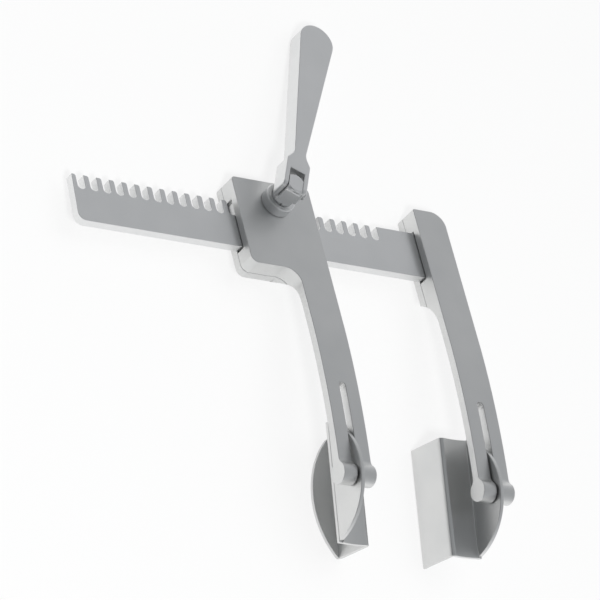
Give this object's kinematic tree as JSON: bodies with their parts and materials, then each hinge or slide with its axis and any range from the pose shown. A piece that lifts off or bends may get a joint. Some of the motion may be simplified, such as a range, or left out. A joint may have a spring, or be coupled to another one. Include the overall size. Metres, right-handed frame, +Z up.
{
  "type": "self retaining retractor",
  "caption": "Rack and crank rib spreader: toothed bar, fixed arm, sliding arm wound along by a folding crank handle, swivelling channel blades on both arms.",
  "frame": {"origin": "bottom centre of the instrument laid on a table, on its two blade lips and its blocks' back edge", "axes": "+X along the rack from its free end to the fixed arm, +Y from the blades towards the rack and crank handle, +Z up"},
  "size_m": [0.2166, 0.2674, 0.0446],
  "materials": {
    "satin_steel": "matt bead-blasted stainless steel",
    "pin_steel": "satin hardened stainless steel",
    "bronze": "turned bearing bronze"
  },
  "bodies": {
    "rack": {"rack_bar": "satin_steel", "fixed_arm": "satin_steel", "arm_clamp_plate": "satin_steel", "rack_rivets": "pin_steel", "knuckle_pin_right": "pin_steel"},
    "slider": {"sliding_arm": "satin_steel", "housing_cover": "satin_steel", "cover_screws": "pin_steel", "crank_bush": "satin_steel", "thrust_washer": "bronze", "rear_bush": "bronze", "knuckle_pin_left": "pin_steel"},
    "crank": {"crank_shaft": "satin_steel", "drive_pins": "pin_steel", "rear_pin_disc": "satin_steel"},
    "handle": {"crank_handle": "satin_steel", "handle_pin": "pin_steel"},
    "blade_left": {"blade_left_channel": "satin_steel", "blade_left_fin": "satin_steel"},
    "blade_right": {"blade_right_channel": "satin_steel", "blade_right_fin": "satin_steel"}
  },
  "joints": [
    {"name": "spread_slide", "type": "slide", "parent": "rack", "child": "slider", "axis": [1, 0, 0], "range_m": [-0.084, 0.042]},
    {"name": "crank_turn", "type": "hinge", "parent": "slider", "child": "crank", "pos_m": [0.00447, 0.03334, 0.01562], "axis": [0, 0.2236, 0.9747], "range_deg": [-1085, 2165]},
    {"name": "handle_fold", "type": "hinge", "parent": "crank", "child": "handle", "pos_m": [0.00447, 0.03627, 0.02839], "axis": [0.9245, -0.3714, 0.0852], "range_deg": [0, 180]},
    {"name": "left_blade_swivel", "type": "hinge", "parent": "slider", "child": "blade_left", "pos_m": [0.01773, -0.10557, 0.0376], "axis": [1, 0, 0], "range_deg": [-60, 15]},
    {"name": "right_blade_swivel", "type": "hinge", "parent": "rack", "child": "blade_right", "pos_m": [0.09922, -0.10557, 0.0376], "axis": [1, 0, 0], "range_deg": [-60, 15]}
  ],
  "couplings": [
    {"joint": "crank_turn", "follows": "spread_slide", "rad_per_m": -448.8}
  ]
}
